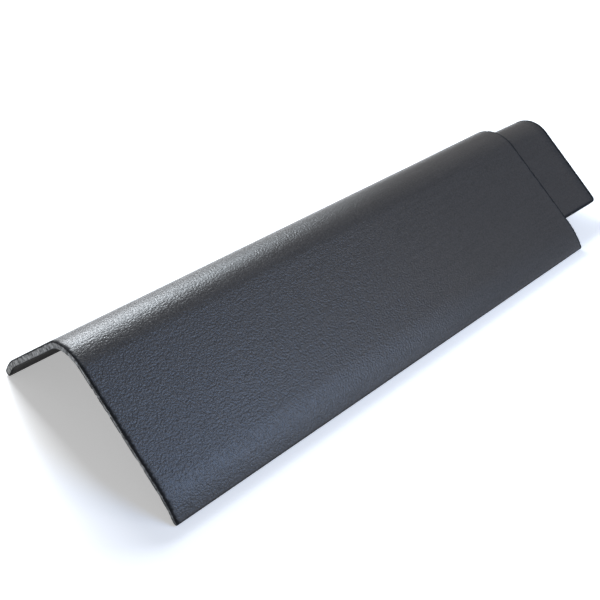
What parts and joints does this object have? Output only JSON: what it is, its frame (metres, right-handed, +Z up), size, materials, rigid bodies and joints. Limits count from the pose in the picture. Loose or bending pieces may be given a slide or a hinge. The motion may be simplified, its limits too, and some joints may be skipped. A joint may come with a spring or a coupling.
{
  "type": "ridge cap",
  "caption": "Anthracite coated fibre-cement ridge cap with a rounded crown, turned-down lips and an internal socket tongue at one end",
  "frame": {"origin": "on the surface that the two lower edges stand on, under the ridge line, halfway along the overall length", "axes": "+X across the ridge, +Y along it from the plain end to the tongue, +Z up"},
  "size_m": [0.4112, 1.02, 0.1611],
  "materials": {
    "fibre_cement": "satin"
  },
  "bodies": {
    "root": {"ridge_cap": "fibre_cement"}
  },
  "joints": []
}
